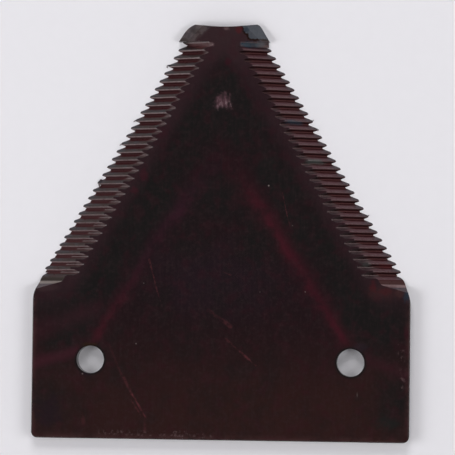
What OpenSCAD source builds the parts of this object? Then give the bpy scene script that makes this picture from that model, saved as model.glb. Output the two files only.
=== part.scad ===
// Mower sickle section: one flat triangular knife blanked from spring steel, with a serrated bevel
// down both cutting edges, a blunt bevelled tip and two rivet holes in the heel. Millimetres.
// The origin lies midway between the rivet holes, on the underside that seats on the knife back.
// +Y points to the tip and +Z out of the serrated face.

/* [Plate] */
// Width of the heel
section_w = 76.2; // [72:0.1:84]
// Length from the heel edge to the tip corners
section_l = 84; // [80:0.5:96]
// Thickness of the steel
plate_t = 2.8; // [2.2:0.1:4]
// Length of the straight sides, from the heel edge up
heel_h = 28.6; // [25:0.1:32]
// Radius of the two heel corners
heel_corner_r = 1.3; // [0.5:0.1:4]
// Chamfer along the upper edges of the heel and of its sides
edge_break = 0.25; // [0.1:0.05:0.6]

/* [Rivet holes] */
// Diameter of the rivet holes
hole_d = 5.56; // [4:0.01:7]
// Distance between the hole centres
hole_spacing = 52.5; // [48:0.1:58]
// Distance of the hole centres from the heel edge
hole_from_heel = 15.9; // [12:0.1:20]

/* [Shoulders] */
// How far each shoulder leans in from the side of the heel
shoulder_in = 1.85; // [1:0.05:3]
// Height of the leaning shoulder
shoulder_h = 5.3; // [4:0.1:7]
// Radius where the shoulder leaves the side of the heel
shoulder_r = 4; // [1:0.5:8]
// Radius of the shoulder's upper corner, beside the last groove
shoulder_nose_r = 2; // [0.5:0.1:2.5]

/* [Tip] */
// Width of the tip before its corners are rounded
tip_w = 14; // [12:0.1:17]
// Length of the plain tip, as far as the wall above the first groove
tip_l = 3.7; // [3:0.05:6]
// How far the plain tip stands proud of the line of the teeth
tip_proud = 0.73; // [0.3:0.01:1.2]
// Depth of the shallow hollow across the end of the tip
tip_dish = 0.68; // [0.2:0.02:1]
// Radius of the worn tip corner on the left
tip_corner_left_r = 4; // [0.5:0.1:5]
// Radius of the tip corner on the right
tip_corner_right_r = 1.6; // [0.5:0.1:5]
// Width of the ground facet on each tip corner, along the end of the tip
tip_facet_w = 3.2; // [2:0.1:4.5]
// Slope of that facet
tip_facet_deg = 40; // [25:1:55]
// How far that facet is turned from the line of the cutting edge
tip_facet_turn = 14; // [0:1:20]

/* [Cutting edges] */
// Width of the bevel, measured across the section
bevel_w = 5.5; // [4:0.1:7]
// Thickness left at the points of the teeth
edge_land = 0.05; // [0.02:0.01:0.3]
// Distance from the top of the straight sides to the wall that ends the bevel
bevel_end = 3; // [2.5:0.1:4]
// Slope of that wall
wall_deg = 57; // [45:1:70]
// Radius at the foot of that wall
wall_foot_r = 0.5; // [0.2:0.05:0.8]
// Plain bevel between that wall and the middle of the last groove, at the least
bevel_plain = 1.2; // [1:0.1:2.5]

/* [Serrations] */
// Distance from groove to groove along the section, sixteen to the inch
pitch = 1.5875; // [1.2:0.0125:2.2]
// Radius of the rounded crest of each ridge
crest_r = 0.35; // [0.15:0.01:0.4]
// Width of the flat floor of each groove
root_w = 0.22; // [0.1:0.02:0.4]
// Slope of the groove sides
flank_deg = 49; // [45:1:60]
// How far the upper side of the first groove on the right, which is hardly cut, stands above the crests
stub_rise = 0.15; // [0.05:0.01:0.3]
// How far the bottom of that groove lies below the crests
stub_drop = 0.12; // [0.05:0.01:0.3]
// Groove on the left, counted from the tip, from which the groove floors climb towards the crests
climb_from = 14; // [5:1:25]
// How far those floors have climbed at the last groove
climb_n = 0.3; // [0.1:0.01:0.35]
// Groove, counted from the tip, from which the inner ends of the grooves run out past the bevel
runout_from = 8; // [6:1:12]
// Distance of the first of those ends from the points of the teeth, measured across the section
runout_first_w = 7; // [6.9:0.05:7.5]
// The same distance at the last groove on the right
runout_right_w = 8.2; // [7.5:0.05:9]
// The same distance at the last groove on the left
runout_left_w = 7.8; // [7.5:0.05:9]
// Width of the run-outs
runout_slot = 1.2; // [0.8:0.05:1.3]
// Slope of their floors
runout_deg = 16; // [12:1:20]
// Slope of their sides
runout_flank_deg = 30; // [25:1:49]

/* [Dent] */
// Diameter of the shallow dent behind the tip
dent_d = 3.2; // [1.5:0.1:4]
// Depth of the dent
dent_depth = 0.14; // [0.05:0.01:0.3]
// Distance of the dent from the tip
dent_from_tip = 15.5; // [12:0.5:30]
// Distance of the dent from the centre line, to the left
dent_off = 0.5; // [0:0.1:3]

/* [Hidden] */
$fn = 96;
// How far cutting bodies run past what they cut
over = 1;
corner_over = 0.05;

half_w = section_w / 2;
heel_y = -hole_from_heel;
tip_y = heel_y + section_l;
side_y = heel_y + heel_h;
shoulder_y = side_y + shoulder_h;
shoulder_x = half_w - shoulder_in;

// The points of the teeth lie on a straight line from the shoulder to just inside the tip corner
tooth_slope = (shoulder_x - (tip_w / 2 - tip_proud)) / (tip_y - shoulder_y);
edge_deg = atan(tooth_slope);
function tooth_x(y) = shoulder_x - (y - shoulder_y) * tooth_slope;

// The bevel falls from the top face to the edge land, measured across the section
bevel_deg = atan((plate_t - edge_land) / bevel_w);
tip_wall_y = tip_y - tip_l;
first_y = tip_wall_y - pitch / 2;
wall_y = side_y + bevel_end;
groove_count = 1 + floor((first_y - wall_y - bevel_plain) / pitch);
last_y = first_y - (groove_count - 1) * pitch;
foot_y = last_y - root_w / 2;

// Seen along the grooves, the crests lie on a line that climbs towards the heel by this angle.
// Heights in that view are measured square to the bevel, and so is the height that clears the plate.
crest_deg = atan(tooth_slope * sin(bevel_deg));
// A ridge with a sharp crest would be this high, and the round crest takes some of it away
sharp_h = (pitch - root_w) * (pow(tan(flank_deg), 2) - pow(tan(crest_deg), 2)) / (2 * tan(flank_deg));
root_drop = sharp_h - crest_r * (1 / cos(flank_deg) - 1 / cos(crest_deg));
clear_n = half_w * sin(bevel_deg) + plate_t * cos(bevel_deg) + over;
function bevel_n(y) = tooth_x(y) * sin(bevel_deg) + edge_land * cos(bevel_deg);
function root_n(y) = bevel_n(y) - root_drop;
function groove_y(i) = first_y - i * pitch;

// The run-outs are seen along their own slope, with heights measured square to it
runout_clear_n = half_w * sin(runout_deg) + plate_t * cos(runout_deg) + over;
runout_wall_h = (runout_slot - root_w) / 2 * tan(runout_flank_deg);
runout_last_w = [runout_right_w, runout_left_w];
function runout_w(i, side) =
    runout_first_w + (runout_last_w[side] - runout_first_w) * (i - runout_from) / (groove_count - 1 - runout_from);
function runout_n(i, side) =
    (tooth_x(groove_y(i)) - runout_w(i, side)) * sin(runout_deg) + plate_t * cos(runout_deg);

// Plan of the blank before the corners are rounded, right side first
function right_side() = [
    [half_w, heel_y],
    [half_w, side_y],
    [shoulder_x, shoulder_y],
    [tooth_x(first_y), first_y],
    [tooth_x(first_y) + tip_proud, first_y],
    [tip_w / 2, tip_y]
];
function mirrored(points) = [for (i = [len(points) - 1 : -1 : 0]) [-points[i][0], points[i][1]]];

function unit(v) = v / norm(v);

// What a rounded corner loses: the kite between the corner and the arc's centre, less the arc.
// The kite reaches a little past the corner.
module corner_relief(corner, before, after, r) {
    a = unit(before - corner);
    b = unit(after - corner);
    half_angle = acos(a * b) / 2;
    inward = unit(a + b);
    run = r / tan(half_angle);
    centre = corner + inward * r / sin(half_angle);
    difference() {
        polygon([corner - inward * corner_over, corner + a * run, centre, corner + b * run]);
        translate(centre) circle(r);
    }
}

// The shallow hollow in the end of the tip is an arc over the width of the tip
module tip_hollow() {
    r = (pow(tip_w / 2, 2) + pow(tip_dish, 2)) / (2 * tip_dish);
    translate([0, tip_y + r - tip_dish]) circle(r);
}

module plan() {
    right = right_side();
    nose = right[1] + (right[2] - right[1]) * (foot_y - side_y) / shoulder_h;
    tip_radius = [tip_corner_right_r, tip_corner_left_r];
    difference() {
        polygon([each right, each mirrored(right)]);
        tip_hollow();
        for (side = [0, 1]) mirror([side, 0]) {
            corner_relief(right[0], [0, heel_y], right[1], heel_corner_r);
            corner_relief(right[1], right[0], right[2], shoulder_r);
            corner_relief(nose, right[1], [0, foot_y], shoulder_nose_r);
            corner_relief(right[5], right[4], [0, tip_y], tip_radius[side]);
        }
    }
}

// Everything below a plane that leans in over the heel and breaks its upper edge
module heel_break() {
    rotate([90, 0, 90])
        translate([0, 0, -section_w])
            linear_extrude(2 * section_w)
                polygon([[heel_y - over, -over], [heel_y - over, plate_t - edge_break - over],
                         [heel_y + edge_break, plate_t], [heel_y + edge_break, plate_t + over],
                         [tip_y + over, plate_t + over], [tip_y + over, -over]]);
}

// Everything between two planes that lean in over the heel's sides and break their upper edges
module side_breaks() {
    reach = half_w + over;
    rotate([90, 0, 0])
        translate([0, 0, -tip_y - over])
            linear_extrude(section_l + 2 * over)
                polygon([[-reach, -over], [-reach, plate_t - edge_break - over],
                         [-half_w + edge_break, plate_t], [-half_w + edge_break, plate_t + over],
                         [half_w - edge_break, plate_t + over], [half_w - edge_break, plate_t],
                         [reach, plate_t - edge_break - over], [reach, -over]]);
}

// The plate, with its upper edges broken along the heel and along the heel's two sides
module blank() {
    intersection() {
        linear_extrude(plate_t) plan();
        heel_break();
        side_breaks();
    }
}

// One ridge seen end on, hung from the centre of its rounded crest and running on below the floor
module ridge() {
    run = 2 * pitch;
    half_crest = [crest_r * sin(flank_deg), crest_r * cos(flank_deg)];
    foot = half_crest + run * [cos(flank_deg), -sin(flank_deg)];
    circle(crest_r);
    polygon([half_crest, foot, [-foot[0], foot[1]], [-half_crest[0], half_crest[1]]]);
}

// What stays in the first groove on the right, seen along the grooves
module stub_fill() {
    bottom_y = first_y - root_w;
    polygon([[tip_wall_y, 0], [tip_wall_y, bevel_n(tip_wall_y) + stub_rise],
             [bottom_y, bevel_n(bottom_y) - stub_drop], [bottom_y, 0]]);
}

// Seen along the grooves: what is cleared above the tip wall, the groove floors, the plain bevel and
// the shoulder wall, less the ridges that stand on the groove floors
module serration_profile(side) {
    rise_y = foot_y - root_drop / (tan(flank_deg) - tan(crest_deg));
    rise = [rise_y, bevel_n(rise_y)];
    foot = [foot_y, root_n(foot_y)];
    climb_y = groove_y(climb_from);
    climb_end = foot + (rise - foot) * climb_n / root_drop;
    floor_end = side == 0 ? [foot] : [[climb_y, root_n(climb_y)], climb_end];
    wall_foot = [wall_y, bevel_n(wall_y)];
    wall_top = [wall_y - (clear_n - bevel_n(wall_y)) / tan(wall_deg), clear_n];
    difference() {
        polygon([[tip_wall_y, clear_n], [tip_wall_y, root_n(tip_wall_y)], each floor_end,
                 rise, wall_foot, wall_top]);
        corner_relief(wall_foot, rise, wall_top, wall_foot_r);
        for (i = [0 : groove_count - 1])
            let (y = tip_wall_y - i * pitch)
                translate([y, bevel_n(y) - crest_r / cos(crest_deg)]) ridge();
        if (side == 0) stub_fill();
    }
}

// The form tool of the right edge, side 0, or of the left edge, which is mirrored in its place: the
// profile swept down the slope of the bevel
module serration_cutter(side) {
    rotate([0, bevel_deg, 0])
        rotate([90, 0, 90])
            translate([0, 0, -section_w])
                linear_extrude(3 * section_w) serration_profile(side);
}

// The run-outs of one side, seen along their slope
module runout_profile(side) {
    for (i = [runout_from : groove_count - 1])
        translate([groove_y(i), runout_n(i, side)])
            polygon([[-root_w / 2, 0], [root_w / 2, 0], [runout_slot / 2, runout_wall_h],
                     [runout_slot / 2, runout_clear_n], [-runout_slot / 2, runout_clear_n],
                     [-runout_slot / 2, runout_wall_h]]);
}

module runout_cutter(side) {
    rotate([0, runout_deg, 0])
        rotate([90, 0, 90])
            translate([0, 0, -section_w])
                linear_extrude(3 * section_w) runout_profile(side);
}

// A slab that lies on the ground facet of the right tip corner and takes off all above it
module tip_facet_cutter() {
    slab = 4 * tip_l;
    translate([tip_w / 2 - tip_facet_w, tip_y, plate_t])
        rotate([0, 0, edge_deg + tip_facet_turn])
            rotate([0, tip_facet_deg, 0])
                translate([0, -slab / 2, 0]) cube([slab, slab, slab]);
}

module rivet_hole() {
    translate([hole_spacing / 2, 0, -over]) cylinder(d = hole_d, h = plate_t + 2 * over);
}

module dent() {
    r = (pow(dent_d / 2, 2) + pow(dent_depth, 2)) / (2 * dent_depth);
    translate([-dent_off, tip_y - dent_from_tip, plate_t + r - dent_depth]) sphere(r);
}

module sickle_section() {
    color([0.16, 0.09, 0.1])
        difference() {
            blank();
            for (side = [0, 1]) mirror([side, 0, 0]) {
                serration_cutter(side);
                runout_cutter(side);
                tip_facet_cutter();
                rivet_hole();
            }
            dent();
        }
}

sickle_section();
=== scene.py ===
import math

import bpy
from mathutils import Matrix, Vector


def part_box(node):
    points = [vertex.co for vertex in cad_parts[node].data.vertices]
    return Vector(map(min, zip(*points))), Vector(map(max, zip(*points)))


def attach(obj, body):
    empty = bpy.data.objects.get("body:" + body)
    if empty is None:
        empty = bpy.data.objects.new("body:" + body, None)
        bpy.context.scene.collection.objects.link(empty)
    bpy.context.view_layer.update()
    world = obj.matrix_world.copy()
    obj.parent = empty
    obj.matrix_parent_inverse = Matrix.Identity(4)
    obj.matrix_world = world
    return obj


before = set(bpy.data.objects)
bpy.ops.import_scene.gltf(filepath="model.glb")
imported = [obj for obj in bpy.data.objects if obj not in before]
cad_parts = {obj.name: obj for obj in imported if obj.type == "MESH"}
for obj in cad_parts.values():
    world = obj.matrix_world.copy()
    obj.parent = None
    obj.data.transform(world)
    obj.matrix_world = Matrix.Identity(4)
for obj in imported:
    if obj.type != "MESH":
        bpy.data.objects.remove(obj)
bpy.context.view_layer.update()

# Lengths below are in millimetres, in the frame of the CAD model, unless they say otherwise
MM = 0.001
CAD_LOW, CAD_HIGH = (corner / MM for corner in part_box("sickle_section"))
PLATE_T = CAD_HIGH.z
HALF_W = CAD_HIGH.x
HEEL_Y = CAD_LOW.y

# The serrated edges: the pitch of the grooves, the wall at the tip that starts them, the last crest, the
# wall at the shoulder, a point of the line through the tooth points, its slope, and how far inward the cut
# is painted
PITCH = 1.5875
TIP_WALL_Y = 64.4
LAST_CREST_Y = 16.775
WALL_Y = 15.7
SHOULDER_X = 36.25
SHOULDER_Y = 18.0
TOOTH_SLOPE = 0.5984
SERRATION_W = 8.6

# The rivet holes, and the dent that is scuffed
HOLE_X = 26.25
HOLE_R = 2.78
SCUFF = (-0.1, 52.3)
SCUFF_HALF = (1.75, 1.5)


def remove_startup_objects():
    for name in ("Cube", "Light", "Camera"):
        found = bpy.data.objects.get(name)
        if found:
            bpy.data.objects.remove(found)


def srgb(*levels):
    """A colour given as it shows on a screen, from 0 to 255, as linear RGBA."""
    shares = [level / 255 for level in levels]
    return tuple(s / 12.92 if s < 0.04045 else ((s + 0.055) / 1.055) ** 2.4 for s in shares) + (1.0,)


class Wire:
    """One value in a node tree. Arithmetic on it adds the nodes that work it out."""

    def __init__(self, graph, socket):
        self.graph = graph
        self.socket = socket

    def __add__(self, other):
        return self.graph.math("ADD", self, other)

    def __sub__(self, other):
        return self.graph.math("SUBTRACT", self, other)

    def __rsub__(self, other):
        return self.graph.math("SUBTRACT", other, self)

    def __mul__(self, other):
        return self.graph.math("MULTIPLY", self, other)

    def __truediv__(self, other):
        return self.graph.math("DIVIDE", self, other)

    def __abs__(self):
        return self.graph.math("ABSOLUTE", self)

    __radd__ = __add__
    __rmul__ = __mul__

    def fract(self):
        return self.graph.math("FRACT", self)

    def sqrt(self):
        return self.graph.math("SQRT", self)

    def least(self, other):
        return self.graph.math("MINIMUM", self, other)

    def most(self, other):
        return self.graph.math("MAXIMUM", self, other)

    def fade(self, off, on):
        """0 where the value is at or past off, 1 at or past on, smooth between."""
        node = self.graph.node("ShaderNodeMapRange", interpolation_type="SMOOTHSTEP")
        self.graph.feed(node.inputs["Value"], self)
        node.inputs["From Min"].default_value = off
        node.inputs["From Max"].default_value = on
        return Wire(self.graph, node.outputs["Result"])

    def between(self, low, high, soft):
        """1 from low to high and 0 outside, each end fading over twice soft."""
        return self.fade(low - soft, low + soft) * self.fade(high + soft, high - soft)


# Sockets of the Mix node that are for colours
MIX_SHARE, MIX_A, MIX_B = 0, 6, 7
MIX_RESULT = 2


class Graph:
    """A material under construction, with the point in millimetres and the normal of the object."""

    def __init__(self, name):
        self.material = bpy.data.materials.new(name)
        self.material.use_nodes = True
        self.tree = self.material.node_tree
        self.tree.nodes.clear()
        coord = self.node("ShaderNodeTexCoord")
        self.point = self.vector("SCALE", coord.outputs["Object"], scale=1 / MM)
        self.x, self.y, self.z = self.split(self.point)
        _, self.ny, self.nz = self.split(coord.outputs["Normal"])
        self.shader = self.node("ShaderNodeBsdfPrincipled")
        output = self.node("ShaderNodeOutputMaterial")
        self.tree.links.new(self.shader.outputs["BSDF"], output.inputs["Surface"])

    def node(self, kind, **settings):
        node = self.tree.nodes.new(kind)
        for key, value in settings.items():
            setattr(node, key, value)
        return node

    def feed(self, socket, value):
        """Links a value to a socket, or sets it there if it is constant."""
        if isinstance(value, Wire):
            value = value.socket
        if isinstance(value, bpy.types.NodeSocket):
            self.tree.links.new(value, socket)
        else:
            socket.default_value = value

    def math(self, operation, *values):
        node = self.node("ShaderNodeMath", operation=operation)
        for socket, value in zip(node.inputs, values):
            self.feed(socket, value)
        return Wire(self, node.outputs[0])

    def vector(self, operation, a, b=None, scale=None, out=0):
        node = self.node("ShaderNodeVectorMath", operation=operation)
        self.feed(node.inputs[0], a)
        if b is not None:
            self.feed(node.inputs[1], b)
        if scale is not None:
            self.feed(node.inputs["Scale"], scale)
        return node.outputs[out]

    def split(self, vector):
        node = self.node("ShaderNodeSeparateXYZ")
        self.feed(node.inputs[0], vector)
        return [Wire(self, socket) for socket in node.outputs]

    def noise(self, scale, detail=2.0, roughness=0.5, stretch=(1, 1, 1), offset=(0, 0, 0)):
        """Noise from about 0 to 1. The scale is in features per millimetre."""
        place = self.vector("MULTIPLY_ADD", self.point, stretch)
        place.node.inputs[2].default_value = offset
        node = self.node("ShaderNodeTexNoise")
        self.feed(node.inputs["Vector"], place)
        node.inputs["Scale"].default_value = scale
        node.inputs["Detail"].default_value = detail
        node.inputs["Roughness"].default_value = roughness
        return Wire(self, node.outputs[0])

    def mix(self, share, a, b):
        node = self.node("ShaderNodeMix", data_type="RGBA")
        self.feed(node.inputs[MIX_SHARE], share)
        self.feed(node.inputs[MIX_A], a)
        self.feed(node.inputs[MIX_B], b)
        return node.outputs[MIX_RESULT]

    def from_line(self, start, end):
        """Distance in the plan from a straight line between two points."""
        start, end = Vector((*start, 0)), Vector((*end, 0))
        run = end - start
        flat = self.vector("MULTIPLY", self.point, (1, 1, 0))
        away = self.vector("SUBTRACT", flat, start)
        along = Wire(self, self.vector("DOT_PRODUCT", away, run / run.length_squared, out=1))
        along = along.most(0.0).least(1.0)
        foot = self.vector("SCALE", tuple(run), scale=along)
        return Wire(self, self.vector("DISTANCE", away, foot, out=1))

    def from_spot(self, centre, size):
        """Distance in the plan from a spot, as a share of its half width and half height."""
        across = (self.x - centre[0]) / size[0]
        along = (self.y - centre[1]) / size[1]
        return (across * across + along * along).sqrt()


class SectionGraph(Graph):
    """The section's material: where a point lies on the section, and the noise that its marks share."""

    def __init__(self, name):
        super().__init__(name)
        self.left = self.x.fade(0.05, -0.05)
        self.right = 1.0 - self.left
        self.top = self.nz.fade(0.05, 0.15)
        # Distance across the section from the line through the tooth points
        self.inward = SHOULDER_X - (self.y - SHOULDER_Y) * TOOTH_SLOPE - abs(self.x)
        # Distance from the nearest crest in pitches, from -0.5 to 0.5, positive towards the heel
        self.phase = ((TIP_WALL_Y - self.y) / PITCH + 0.5).fract() - 0.5

        self.cloud = self.noise(0.05, 3.0, 0.55)
        self.mottle = self.noise(0.19, 3.0, 0.6, offset=(7, 3, 0))
        self.blotch = self.noise(0.55, 3.0, 0.6, offset=(2, 9, 0))
        self.fine = self.noise(1.6, 3.0, 0.6)
        self.patch = self.noise(0.42, 2.0, 0.5, offset=(11, 5, 0))
        self.grain = self.noise(1.0, 3.0, 0.6, stretch=(2.6, 0.16, 1.0))
        self.streak = self.noise(1.0, 2.0, 0.6, stretch=(2.0, 0.8, 1.0), offset=(0, 4, 0))
        self.shear = self.noise(1.0, 2.0, 0.6, stretch=(3.0, 3.0, 0.3))

    def wander(self, cloud=0.0, mottle=0.0, blotch=0.0, fine=0.0):
        """Noise about 0 that makes an edge ragged, with the amount of each kind."""
        kinds = ((self.cloud, cloud), (self.mottle, mottle), (self.blotch, blotch), (self.fine, fine))
        return sum((noise - 0.5) * amount for noise, amount in kinds if amount)


# Colours of the lacquer and of what shows through it, and of the light and shade painted on it
BLACK = srgb(24, 23, 23)
MAROON = srgb(30, 19, 22)
BROWN = srgb(43, 25, 24)
MOTTLE_RED = srgb(50, 20, 28)
PURPLE = srgb(44, 29, 33)
VIOLET = srgb(33, 23, 29)
EDGE_BROWN = srgb(62, 40, 40)
DUST = srgb(56, 41, 43)
GHOST_RED = srgb(72, 22, 34)
GHOST_PURPLE = srgb(60, 28, 42)
SMEAR_PINK = srgb(64, 28, 38)
GROOVE_RED = srgb(58, 18, 22)
GROOVE_BROWN = srgb(58, 19, 21)
# Painted shade in the grooves, and painted light and highlights on their slopes, crests and inner ends
GROOVE_SHADE = srgb(22, 4, 6)
LIT_SLOPE_GREY = srgb(48, 37, 36)
LIT_SLOPE_PINK = srgb(77, 50, 55)
CREST_BLUE = srgb(50, 52, 58)
CREST_HIGHLIGHT = srgb(126, 112, 113)
RIM_HIGHLIGHT_GREY = srgb(86, 73, 74)
TAIL_HIGHLIGHT_BROWN = srgb(80, 55, 54)
PLAIN_LEFT = srgb(42, 33, 29)
PLAIN_RIGHT = srgb(62, 36, 36)
WALL_LEFT = srgb(58, 44, 49)
WALL_RIGHT = srgb(44, 20, 31)
# Painted highlight along the foot of each shoulder wall
FOOT_HIGHLIGHT_LEFT = srgb(116, 106, 101)
FOOT_HIGHLIGHT_RIGHT = srgb(112, 88, 89)
BARE_STEEL = srgb(92, 82, 82)
BARE_DARK = srgb(58, 50, 54)
BLUE_STEEL = srgb(74, 82, 90)
BLUE_STAIN = srgb(38, 47, 58)
TEAL_STAIN = srgb(16, 38, 54)
GREEN_STAIN = srgb(68, 72, 70)
RED_STAIN = srgb(84, 20, 26)
RUST_STAIN = srgb(62, 36, 36)
OUTLINE_BROWN = srgb(30, 17, 13)
RIM_BROWN = srgb(44, 30, 19)
RIM_VIOLET = srgb(46, 34, 43)
DARK_TEAL = srgb(28, 32, 31)
PALE_PINK = srgb(118, 95, 97)
SCUFF_PINK = srgb(84, 58, 65)
# Painted highlight in the dent
SCUFF_HIGHLIGHT = srgb(116, 98, 102)
SCRATCH_PINK = srgb(78, 40, 44)
SPECK = srgb(120, 108, 106)

# Tones of the lacquer. A pair says where a tone starts to show and where it is full. The violet spot has a
# centre, and a half width and half height. The dark band runs along the serrations: its two borders, inward
# of the tooth points, and their softness.
BROWN_Y = (13.0, -12.0)
VIOLET_SPOT = ((-1.0, 16.5), (17.0, 9.0))
DARK_BAND = (9.2, 17.6, 2.4)
DARK_BAND_Y = (-6.0, 8.0)
PURPLE_INWARD = (11.2, 7.0)
PURPLE_Y = (8.0, 16.0)
PURPLE_TIP_Y = (57.0, 66.0)
DUSTY_TIP_Y = (58.0, 68.0)
HEEL_EDGE_Y = (HEEL_Y + 1.5, HEEL_Y + 0.2)
SIDE_EDGE_X = (HALF_W - 1.3, HALF_W - 0.2)
SIDE_EDGE_Y = (16.0, 12.0)

# Darker clouds in the plan: centre, half width and half height, strength
CLOUDS = (
    ((-0.7, 33.0), (7.5, 5.5), 0.8),
    ((8.0, 25.0), (6.0, 8.0), 0.7),
    ((-7.0, 25.0), (5.0, 6.0), 0.35),
    ((0.0, 46.5), (5.0, 4.0), 0.5),
    ((34.0, 9.0), (5.0, 6.0), 0.75),
    ((-33.5, 11.0), (5.5, 4.5), 0.6),
    ((-35.5, -9.0), (5.5, 7.5), 0.5),
    ((34.8, -8.0), (5.0, 7.0), 0.8),
)

# The ghost is a soft red chevron from hole to hole: its axis, its foot from the axis and its height there,
# its slope, the rounding of its apex, the half width of its core and of its haze at the foot with their
# growth for each millimetre above it, and where it fades at the foot and towards the apex
GHOST_X = -0.3
GHOST_FOOT = (25.1, 5.05)
GHOST_SLOPE = 0.62
GHOST_ROUND = 3.5
GHOST_CORE = (1.5, 0.025)
GHOST_HAZE = (3.6, 0.02)
GHOST_FOOT_Y = (1.0, 5.5)
GHOST_APEX_Y = (46.0, 27.0)

# Pink smears on the heel: start, end, half width and strength
SMEARS = (
    ((-37.9, -1.0), (-29.0, 1.7), 2.0, 1.0),
    ((29.0, 0.8), (37.6, -2.4), 2.2, 0.5),
    ((-37.8, 5.6), (-26.0, 10.0), 3.4, 0.5),
)
# Scratches in the plan: start, end, half width and strength
SCRATCHES = (
    ((-22.4, 3.0), (-20.5, -1.7), 0.3, 0.16),
    ((-20.5, -1.7), (-17.7, -6.8), 0.5, 0.45),
    ((-17.7, -6.8), (-14.9, -11.5), 0.26, 0.9),
    ((-17.9, -8.0), (-15.6, -11.4), 0.2, 0.5),
    ((-14.9, -11.5), (-15.1, -14.2), 0.5, 0.3),
    ((-2.4, 10.1), (2.0, 7.0), 0.55, 0.45),
    ((1.1, 4.5), (4.0, 2.0), 0.24, 0.4),
    ((4.0, 2.0), (7.2, -0.8), 0.3, 0.75),
    ((-14.6, 20.3), (-13.3, 15.6), 0.2, 0.6),
    ((-13.3, 15.4), (-11.9, 11.0), 0.22, 0.5),
    ((12.2, 34.0), (13.2, 29.4), 0.18, 0.55),
    ((13.2, 29.4), (14.0, 26.6), 0.14, 0.25),
    ((0.4, 18.0), (2.0, 17.3), 0.3, 0.4),
)
# Lines of small worn flecks near the edges: start, end and half width
FLECKS = (
    ((36.2, 3.4), (36.8, -4.8), 0.9),
    ((-24.0, -14.6), (-2.0, -15.0), 0.8),
    ((-11.0, -14.4), (-7.0, -14.7), 0.9),
)
FLECK_STRENGTH = 0.3
# Specks in the plan: centre, radius and strength
SPECKS = (
    ((9.4, 35.4), 0.24, 0.8),
    ((17.0, 14.1), 0.18, 0.4),
    ((-17.0, 3.3), 0.2, 0.5),
    ((14.3, 27.4), 0.16, 0.35),
    ((7.9, 14.0), 0.16, 0.25),
    ((-15.6, 15.5), 0.16, 0.35),
    ((-27.8, -2.9), 0.22, 0.45),
)
# Stains in the plan: centre, half width and half height, colour and strength
STAINS = (
    ((4.8, 63.9), (2.1, 0.8), TEAL_STAIN, 0.95),
    ((8.2, 63.7), (1.2, 0.8), PALE_PINK, 0.4),
    ((3.0, 66.9), (0.9, 0.8), RED_STAIN, 0.4),
    ((0.5, 67.0), (0.7, 0.5), PALE_PINK, 0.35),
    ((4.5, 66.8), (0.7, 0.8), BLUE_STAIN, 0.8),
    ((7.4, 64.0), (1.2, 0.7), BLUE_STEEL, 0.5),
    ((14.4, 48.2), (2.2, 0.7), BLUE_STAIN, 0.85),
    ((18.5, 40.3), (2.0, 0.7), GREEN_STAIN, 0.75),
    ((29.2, 19.9), (1.3, 0.8), GREEN_STAIN, 0.35),
    ((33.2, 19.5), (1.5, 0.6), RED_STAIN, 0.35),
    ((37.6, 13.5), (1.0, 1.4), BLUE_STAIN, 0.9),
    ((32.6, 14.0), (3.6, 2.0), RUST_STAIN, 0.35),
    ((30.6, 15.6), (0.8, 1.3), RED_STAIN, 0.25),
    ((33.0, 14.3), (1.6, 0.8), RED_STAIN, 0.16),
    ((36.0, 14.2), (1.0, 1.0), EDGE_BROWN, 0.5),
    ((-35.3, 14.4), (2.6, 0.9), DUST, 0.6),
    ((-4.9, 63.85), (3.4, 0.55), PALE_PINK, 0.8),
    ((-5.6, 63.55), (2.4, 0.6), RED_STAIN, 0.45),
    ((-6.1, 66.6), (1.2, 0.9), OUTLINE_BROWN, 0.6),
    ((-8.3, 64.4), (1.6, 1.2), OUTLINE_BROWN, 0.8),
    ((0.8, 60.4), (0.7, 0.7), MOTTLE_RED, 0.6),
    ((-12.4, 45.9), (1.6, 1.6), MOTTLE_RED, 0.45),
    ((-15.9, 37.2), (0.9, 1.4), GHOST_RED, 0.25),
    ((-17.6, 34.2), (1.1, 0.9), GHOST_RED, 0.28),
    ((-34.4, -10.5), (3.6, 3.6), VIOLET, 0.6),
    ((-27.5, -12.5), (0.5, 1.1), SCRATCH_PINK, 0.28),
    ((-26.8, 3.0), (2.0, 0.5), RIM_BROWN, 0.6),
    ((-27.2, -2.9), (2.0, 0.6), VIOLET, 0.6),
    ((28.2, 3.3), (2.0, 1.1), RIM_VIOLET, 0.35),
    ((37.4, 6.2), (0.7, 1.9), MOTTLE_RED, 0.6),
    ((33.5, -12.0), (2.6, 1.6), DARK_TEAL, 0.5),
    ((27.65, -6.4), (0.16, 0.7), SPECK, 0.2),
)


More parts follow.
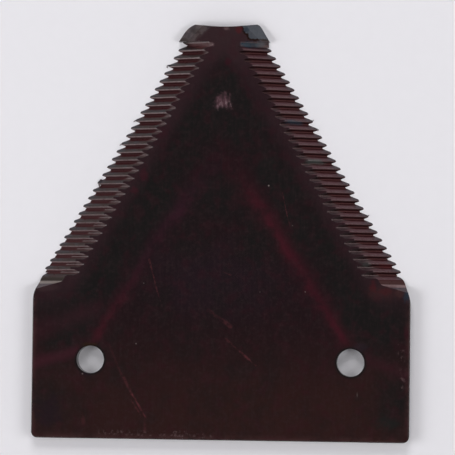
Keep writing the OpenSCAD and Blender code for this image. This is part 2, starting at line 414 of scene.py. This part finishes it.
def lacquer_colour(g):
    """Maroon and nearly black in soft clouds, browner towards the heel and purple along the serrations."""
    colour = g.mix(g.y.fade(*BROWN_Y) * (g.cloud * 0.6 + 0.65), MAROON, BROWN)
    violet = g.from_spot(*VIOLET_SPOT) + g.wander(mottle=1.2)
    colour = g.mix(violet.fade(1.2, 0.2) * 0.7, colour, VIOLET)

    black = (g.inward + g.wander(blotch=3.0)).between(*DARK_BAND) * g.y.fade(*DARK_BAND_Y)
    black = black * (g.mottle * 1.9 + g.blotch * 0.7 - 0.5).most(0.0)
    black = black + g.mottle.fade(0.42, 0.7) * 0.45
    ragged = g.wander(mottle=1.2, blotch=0.6)
    for centre, size, strength in CLOUDS:
        black = black + (g.from_spot(centre, size) + ragged).fade(1.25, 0.2) * strength
    colour = g.mix(black.least(1.0) * 0.88, colour, BLACK)

    purple = g.inward.fade(*PURPLE_INWARD) * (g.mottle * 0.8 + 0.4) * g.y.fade(*PURPLE_Y)
    purple = purple + g.y.fade(*PURPLE_TIP_Y) * 0.8
    colour = g.mix(purple.least(1.0) * 0.95, colour, PURPLE)

    edge = g.y.fade(*HEEL_EDGE_Y).most(abs(g.x).fade(*SIDE_EDGE_X) * g.y.fade(*SIDE_EDGE_Y))
    colour = g.mix(edge * g.blotch.fade(0.3, 0.6) * 0.6, colour, EDGE_BROWN)
    colour = g.mix(g.y.fade(*DUSTY_TIP_Y) * 0.4, colour, DUST)
    colour = g.mix(g.patch.fade(0.48, 0.7) * 0.25, colour, MOTTLE_RED)
    dust = g.grain.fade(0.45, 0.8) * 0.12 + g.fine.fade(0.45, 0.8) * 0.24 + g.blotch.fade(0.5, 0.75) * 0.08
    return g.mix(dust, colour, DUST)


def add_ghost(g, colour):
    """The chevron, as if another section had lain on this one when it was dipped. It is paler on the left."""
    above = g.y - GHOST_FOOT[1]
    off_axis = ((g.x - GHOST_X) * (g.x - GHOST_X) + GHOST_ROUND ** 2).sqrt()
    off = off_axis - (GHOST_FOOT[0] - above * GHOST_SLOPE)
    off = abs(off + g.wander(cloud=2.5, mottle=3.4, blotch=1.2))
    core = (off / (above * GHOST_CORE[1] + GHOST_CORE[0])).fade(1.0, 0.0)
    haze = (off / (above * GHOST_HAZE[1] + GHOST_HAZE[0])).fade(1.0, 0.0)
    share = core * (g.left * (g.y.fade(24.0, 8.0) * 0.3 + 0.14) + 0.3) + haze * (0.37 - g.left * 0.17)
    share = share * g.y.fade(*GHOST_FOOT_Y) * g.y.fade(*GHOST_APEX_Y)
    share = share * (g.mottle.fade(0.25, 0.7) * 0.7 + g.blotch * 0.4)
    share = share * (1.0 - g.left * (0.45 - g.y.fade(16.0, 28.0) * 0.2)) * g.top
    tone = g.mix(g.left * g.y.fade(8.0, 24.0), GHOST_RED, GHOST_PURPLE)
    return g.mix(share.least(1.0), colour, tone)


def add_smears_and_rings(g, colour):
    """Pink smears across the ends of the heel, and a dark ring round each hole."""
    smear = 0.0
    for start, end, width, strength in SMEARS:
        smear = (g.from_line(start, end).fade(width, 0.0) * strength).most(smear)
    colour = g.mix(smear * g.top * (g.mottle * 0.6 + 0.2), colour, SMEAR_PINK)
    for x in (-HOLE_X, HOLE_X):
        ring = g.from_spot((x, 0.0), (HOLE_R, HOLE_R)).between(0.9, 1.16, 0.1)
        colour = g.mix(ring * 0.7, colour, BLACK)
    return colour


# Bands across a groove, in pitches heelward of its crest, with their softness: the painted shade on the
# slope that faces the heel, the painted highlight along the crest, and the painted shadow in the right
# inner ends
SLOPE_SHADE_BAND = (0.08, 0.24, 0.05)
CREST_HIGHLIGHT_BAND = (-0.01, 0.13, 0.03)
SHADOW_BAND = (0.06, 0.38, 0.05)


def serration_colour(g, body):
    """Red in the grooves, with painted shade, and painted light on the slopes that face the tip and the
    crests.
    """
    heelward = g.y.fade(66.0, 16.0)
    # Noise that makes the painted light on the slopes, the crest highlight and the inner-end highlight patchy
    worn = g.fine.fade(0.2, 0.7) * 0.5 + 0.6
    phase = g.phase - (heelward * g.left * 0.08 + 0.05)
    # Painted shade on the slopes that face the heel and along the floors of the grooves
    dark = (phase - g.left * 0.14).between(*SLOPE_SHADE_BAND).most(abs(phase + 0.5).fade(0.12, 0.04) * 0.6)
    colour = g.mix(g.left, GROOVE_BROWN, GROOVE_RED)
    colour = g.mix(dark * (g.right * 0.5 + 0.5) * (g.blotch * 0.6 + 0.6), colour, GROOVE_SHADE)
    # A thin painted highlight along each groove floor on the right
    floor_highlight = g.right * abs(phase - 0.36).fade(0.09, 0.02)
    colour = g.mix(floor_highlight * 0.5, colour, TAIL_HIGHLIGHT_BROWN)

    # Painted light and sheen: the slopes that face the tip are painted lighter, grey on the left and pink on
    # the right
    strip = g.mix(g.left, LIT_SLOPE_PINK, LIT_SLOPE_GREY)
    blue = (g.blotch.fade(0.5, 0.65) * g.left * 0.5).most(g.inward.fade(2.4, 0.4) * 0.7)
    strip = g.mix(blue, strip, CREST_BLUE)
    # A paler painted band on the lit slopes on the right
    paler_band = g.right * abs(phase + 0.14).fade(0.14, 0.0) * g.fine.fade(0.3, 0.7)
    strip = g.mix(paler_band * 0.4, strip, RIM_HIGHLIGHT_GREY)
    upper = phase.fade(0.03, -0.05) * phase.fade(-0.45, -0.36)
    colour = g.mix((upper * worn).least(1.0), colour, strip)
    # A painted highlight along the crests on the left
    line = phase.between(*CREST_HIGHLIGHT_BAND) * g.left * worn * (g.blotch * 0.5 + 0.6)
    colour = g.mix(line.least(1.0), colour, CREST_HIGHLIGHT)

    # On the left the worn edge of each inner end carries a painted highlight. On the right the inner ends are
    # lost in the lacquer and a painted shadow, but for a thin painted highlight
    after = (phase + 1.0).fract()
    shallow = g.z.fade(PLATE_T - 0.62, PLATE_T - 0.25) * abs(g.phase).fade(0.12, 0.22) * after.fade(0.7, 0.42)
    colour = g.mix((shallow * g.left * worn * (0.88 - heelward * 0.5)).least(1.0), colour, RIM_HIGHLIGHT_GREY)
    taper = g.inward - phase.fade(-0.45, 0.0) * phase.fade(0.06, 0.0) * 1.8
    lost = g.right * taper.fade(4.7, 6.0) * 0.9
    colour = g.mix(lost, colour, g.mix(after.between(*SHADOW_BAND) * 0.9, body, GROOVE_SHADE))
    tail_highlight = g.right * abs(after - 0.47).fade(0.09, 0.02) * g.inward.fade(4.6, 5.6)
    colour = g.mix(tail_highlight * 0.55, colour, TAIL_HIGHLIGHT_BROWN)

    plain = g.y.fade(LAST_CREST_Y - 0.1, LAST_CREST_Y - 0.3)
    return g.mix(plain, colour, g.mix(g.left, PLAIN_RIGHT, PLAIN_LEFT))


def add_walls(g, colour):
    """The wall that ends each bevel at the shoulder has a painted highlight along its foot."""
    wall = g.ny.fade(0.4, 0.6) * g.y.between(10.0, WALL_Y + 0.6, 0.1) * g.top
    climb = g.z - g.inward * 0.5
    colour = g.mix(wall * 0.9, colour, g.mix(g.left, WALL_RIGHT, WALL_LEFT))
    return g.mix(wall * climb.fade(0.9, 0.6) * 0.95, colour, g.mix(g.left, FOOT_HIGHLIGHT_RIGHT, FOOT_HIGHLIGHT_LEFT))


# Borders of the bare tip corners: a point of each sloping one, the slope of the right one and its lower end
TIP_LEFT = (-2.3, 68.1)
TIP_RIGHT = (3.7, 67.4)
TIP_RIGHT_SLOPE = 0.75
TIP_RIGHT_LOW = 64.95


def add_bare_tip(g, colour):
    """The ground tip corners are bare, blotched on the left and bluish with a torn border on the right."""
    ragged = g.wander(mottle=1.2, blotch=1.4)
    on_left = (TIP_LEFT[0] - g.x - (TIP_LEFT[1] - g.y) + ragged).fade(-0.8, 0.6)
    on_left = on_left * (g.blotch.fade(0.3, 0.55) * 0.5 + 0.5)
    torn = ragged * 0.7 + g.wander(fine=1.3)
    sideways = g.x - TIP_RIGHT[0] - (TIP_RIGHT[1] - g.y) * TIP_RIGHT_SLOPE + torn
    inside = sideways.least((g.y + torn * 0.5 - TIP_RIGHT_LOW) * 1.2)
    head = g.y.fade(TIP_WALL_Y - 0.1, TIP_WALL_Y + 0.1) * g.top
    outline = abs(inside + 0.2).fade(0.4, 0.12) * head * g.x.fade(2.5, 3.5)
    colour = g.mix(outline * 0.95, colour, OUTLINE_BROWN)
    steel = g.mix(g.blotch.fade(0.4, 0.6), BARE_STEEL, BARE_DARK)
    steel = g.mix(g.right * (1.0 - g.blotch * 0.5), steel, BLUE_STEEL)
    bare = on_left.most(inside.fade(-0.1, 0.15)) * head
    return bare, g.mix(bare * (g.fine * 0.4 + 0.65).least(1.0), colour, steel)


def add_scuff_and_highlight(g, colour):
    """The dent has scuffed the lacquer, with a painted highlight at its lower right."""
    right_of = g.x - SCUFF[0]
    above = g.y - SCUFF[1]
    scuff = (abs(right_of) / SCUFF_HALF[0]).most(abs(above) / SCUFF_HALF[1]) + g.wander(blotch=1.8, fine=1.4)
    scuff = scuff.fade(1.2, 0.25) * g.top
    colour = g.mix(scuff * (g.streak.fade(0.3, 0.6) * 0.6 + 0.3), colour, SCUFF_PINK)
    # Painted highlight on the lower right of the dent
    lower_right = (0.5 + right_of * 0.2 - above * 0.2).most(0.0)
    return g.mix(scuff * g.streak.fade(0.48, 0.68) * lower_right, colour, SCUFF_HIGHLIGHT)


def add_marks(g, colour):
    """Stains, scratches, flecks and specks, each broken up by noise but the specks."""
    ragged = g.wander(blotch=1.8, fine=0.9)
    for centre, size, stain, strength in STAINS:
        spot = g.from_spot(centre, size) + ragged
        colour = g.mix(spot.fade(1.15, 0.3) * g.top * strength, colour, stain)
    ragged = g.wander(mottle=0.6, blotch=0.5)
    broken = g.fine.fade(0.3, 0.65)
    for start, end, width, strength in SCRATCHES:
        scratch = (g.from_line(start, end) + ragged).fade(width, width * 0.2)
        colour = g.mix(scratch * g.top * strength * broken, colour, SCRATCH_PINK)
    broken = g.fine.fade(0.5, 0.75)
    for start, end, width in FLECKS:
        flecks = g.from_line(start, end).fade(width, width * 0.3) * broken
        colour = g.mix(flecks * g.top * FLECK_STRENGTH, colour, PALE_PINK)
    for centre, radius, strength in SPECKS:
        speck = g.from_spot(centre, (radius, radius)).fade(1.0, 0.3)
        colour = g.mix(speck * g.top * strength, colour, SPECK)
    return colour


# The finish: its reflection, its roughness and what bare steel and serrations add to that, how far bare steel
# counts as metal, and the bump
SPECULAR = 0.25
ROUGH_LEAST = 0.14
ROUGH_NOISE = 0.1
ROUGH_BARE = 0.22
ROUGH_SERRATED = 0.1
METAL_BARE = 0.3
BUMP_STRENGTH = 0.25
BUMP_DEPTH = 0.02 * MM


def lacquered_steel():
    """Thin dark lacquer over steel, worn, stained and scratched as the section in the photograph is."""
    g = SectionGraph("lacquered_steel_worn")
    # The colour also carries painted shade and highlights: in the serrations, on the wall feet and in the
    # dent
    colour = add_smears_and_rings(g, add_ghost(g, lacquer_colour(g)))
    serrated = g.inward.fade(SERRATION_W + 0.3, SERRATION_W - 0.3)
    serrated = serrated * g.y.between(WALL_Y, TIP_WALL_Y + 0.1, 0.05)
    serrated = serrated * g.z.fade(PLATE_T - 0.01, PLATE_T - 0.06) * g.top
    colour = g.mix(serrated, colour, serration_colour(g, colour))
    bare, colour = add_bare_tip(g, add_walls(g, colour))
    colour = add_marks(g, add_scuff_and_highlight(g, colour))

    g.feed(g.shader.inputs["Base Color"], colour)
    g.shader.inputs["Specular IOR Level"].default_value = SPECULAR
    g.feed(g.shader.inputs["Metallic"], bare * METAL_BARE)
    rough = (bare * ROUGH_BARE).most(serrated * ROUGH_SERRATED)
    g.feed(g.shader.inputs["Roughness"], g.fine * ROUGH_NOISE + ROUGH_LEAST + rough)

    bump = g.node("ShaderNodeBump")
    bump.inputs["Strength"].default_value = BUMP_STRENGTH
    bump.inputs["Distance"].default_value = BUMP_DEPTH
    g.feed(bump.inputs["Height"], g.fine + g.grain * 0.6 + g.shear * (1.0 - abs(g.nz)))
    g.tree.links.new(bump.outputs["Normal"], g.shader.inputs["Normal"])
    return g.material


# Burrs that the form cutter left at the points of a few teeth: the run of each and its radius at the root
BURRS = {
    "burr_hook": (((-11.0, 59.72, 0.14), (-11.45, 59.75, 0.16), (-11.72, 59.6, 0.2), (-11.74, 59.35, 0.24),
                   (-11.56, 59.18, 0.26)), 0.12),
    "burr_left_upper": (((-17.7, 48.55, 0.14), (-18.15, 48.42, 0.18), (-18.4, 48.2, 0.24)), 0.13),
    "burr_left_lower": (((-20.5, 43.8, 0.14), (-20.95, 43.62, 0.18), (-21.15, 43.38, 0.22)), 0.13),
    "burr_flake": (((-24.75, 36.45, 0.2), (-25.2, 36.05, 0.22), (-25.3, 35.5, 0.24), (-25.1, 34.95, 0.22),
                    (-25.2, 34.5, 0.2)), 0.19),
    "burr_curl": (((18.3, 46.95, 0.14), (18.75, 47.0, 0.16), (19.02, 47.02, 0.2), (19.16, 46.84, 0.24),
                   (19.04, 46.66, 0.28), (18.86, 46.7, 0.3)), 0.1),
    "burr_right_upper": (((17.5, 48.6, 0.14), (17.95, 48.62, 0.18), (18.15, 48.86, 0.22)), 0.12),
    "burr_right_lower": (((28.9, 29.5, 0.14), (29.35, 29.56, 0.16), (29.55, 29.78, 0.2)), 0.12),
}
BURR_SIDES = 8
BURR_TAPER = 0.55


def make_burr(name, run, radius, material):
    """A tapering sliver along a run of points, closed at both ends."""
    run = [Vector(point) for point in run]
    verts = []
    for i, point in enumerate(run):
        ahead = run[min(i + 1, len(run) - 1)] - run[max(i - 1, 0)]
        across = ahead.cross(Vector((0, 0, 1))).normalized()
        up = across.cross(ahead).normalized()
        r = radius * (1 - BURR_TAPER * i / (len(run) - 1))
        for k in range(BURR_SIDES):
            turn = 2 * math.pi * k / BURR_SIDES
            verts.append((point + across * r * math.cos(turn) + up * r * math.sin(turn)) * MM)
    faces = []
    for i in range(len(run) - 1):
        for k in range(BURR_SIDES):
            a = i * BURR_SIDES + k
            b = i * BURR_SIDES + (k + 1) % BURR_SIDES
            faces.append((a, b, b + BURR_SIDES, a + BURR_SIDES))
    faces.append(tuple(reversed(range(BURR_SIDES))))
    faces.append(tuple(range(len(verts) - BURR_SIDES, len(verts))))
    mesh = bpy.data.meshes.new(name)
    mesh.from_pydata(verts, [], faces)
    mesh.polygons.foreach_set("use_smooth", [True] * len(mesh.polygons))
    mesh.materials.append(material)
    burr = bpy.data.objects.new(name, mesh)
    bpy.context.scene.collection.objects.link(burr)
    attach(burr, "root")


# The floor: its two close tones and roughness, and in metres its half width and its gap below the section
FLOOR_LIGHT = srgb(232, 230, 235)
FLOOR_DARK = srgb(229, 227, 232)
FLOOR_ROUGH = 0.9
FLOOR_HALF = 1.5
FLOOR_DROP = 0.02 * MM


def floor_material():
    g = Graph("floor_paper")
    speck = g.noise(0.4, 4.0, 0.6)
    g.feed(g.shader.inputs["Base Color"], g.mix(speck, FLOOR_LIGHT, FLOOR_DARK))
    g.shader.inputs["Roughness"].default_value = FLOOR_ROUGH
    return g.material


def make_floor():
    mesh = bpy.data.meshes.new("floor")
    corners = ((-1, -1), (1, -1), (1, 1), (-1, 1))
    verts = [(x * FLOOR_HALF, y * FLOOR_HALF, -FLOOR_DROP) for x, y in corners]
    mesh.from_pydata(verts, [], [(0, 1, 2, 3)])
    mesh.materials.append(floor_material())
    floor = bpy.data.objects.new("floor", mesh)
    bpy.context.scene.collection.objects.link(floor)


# The photograph was taken from above, a little from the right and from the heel side, with a slight roll. The
# span is the width of the view at the upper face. The nearest distance that the camera sees is in metres.
AIM = Vector((1.194, 26.889, PLATE_T))
VIEW_DISTANCE = 600.0
VIEW_LEAN = (math.radians(4.612), math.radians(-1.762))
VIEW_ROLL = math.radians(-0.715)
VIEW_SPAN = 91.565
SENSOR = 36.0
CLIP_START = 0.01


def make_camera():
    lean_x, lean_y = (math.sin(angle) for angle in VIEW_LEAN)
    back = Vector((lean_x, lean_y, math.sqrt(1 - lean_x ** 2 - lean_y ** 2)))
    across = Vector((math.sin(VIEW_ROLL), math.cos(VIEW_ROLL), 0)).cross(back).normalized()
    turn = Matrix((across, back.cross(across), back)).transposed().to_4x4()
    data = bpy.data.cameras.new("camera")
    data.sensor_width = SENSOR
    data.lens = SENSOR * VIEW_DISTANCE / VIEW_SPAN
    data.clip_start = CLIP_START
    camera = bpy.data.objects.new("camera", data)
    camera.matrix_world = Matrix.Translation((AIM + back * VIEW_DISTANCE) * MM) @ turn
    bpy.context.scene.collection.objects.link(camera)
    bpy.context.scene.camera = camera


# Soft boxes: place and size in metres, and power in watts. The side ones stand a little towards the heel, so
# that the run-outs mirror less of them.
LIGHTS = {
    "light_tip": ((0.0, 0.48, 0.49), 0.30, 1.70),
    "light_heel": ((0.0, -0.43, 0.49), 0.30, 0.33),
    "light_left": ((-0.41, -0.05, 0.42), 0.30, 1.42),
    "light_right": ((0.41, -0.05, 0.42), 0.30, 1.15),
}
LIGHT_AIM = Vector((0, 0.027, 0))


def make_lights():
    for name, (place, size, power) in LIGHTS.items():
        data = bpy.data.lights.new(name, "AREA")
        data.shape = "SQUARE"
        data.size = size
        data.energy = power
        lamp = bpy.data.objects.new(name, data)
        lamp.location = place
        lamp.rotation_euler = (LIGHT_AIM - Vector(place)).to_track_quat("-Z", "Y").to_euler()
        bpy.context.scene.collection.objects.link(lamp)


# The room's strength low down and overhead, and the heights of direction between which it changes
WORLD_HORIZON = 1.4
WORLD_ZENITH = 0.03
WORLD_RAMP = (0.1, 0.6)


def make_world():
    """A pale room that darkens overhead."""
    world = bpy.data.worlds.new("studio")
    world.use_nodes = True
    tree = world.node_tree
    tree.nodes.clear()
    coord = tree.nodes.new("ShaderNodeTexCoord")
    split = tree.nodes.new("ShaderNodeSeparateXYZ")
    ramp = tree.nodes.new("ShaderNodeMapRange")
    shade = tree.nodes.new("ShaderNodeBackground")
    output = tree.nodes.new("ShaderNodeOutputWorld")
    ramp.inputs["From Min"].default_value, ramp.inputs["From Max"].default_value = WORLD_RAMP
    ramp.inputs["To Min"].default_value = WORLD_HORIZON
    ramp.inputs["To Max"].default_value = WORLD_ZENITH
    tree.links.new(coord.outputs["Generated"], split.inputs[0])
    tree.links.new(split.outputs["Z"], ramp.inputs["Value"])
    tree.links.new(ramp.outputs["Result"], shade.inputs["Strength"])
    tree.links.new(shade.outputs["Background"], output.inputs["Surface"])
    bpy.context.scene.world = world


remove_startup_objects()
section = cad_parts["sickle_section"]
steel = lacquered_steel()
for material_slot in section.material_slots:
    material_slot.material = steel
for name, (run, radius) in BURRS.items():
    make_burr(name, run, radius, steel)

make_floor()
make_camera()
make_lights()
make_world()
bpy.context.scene.view_settings.view_transform = "Standard"
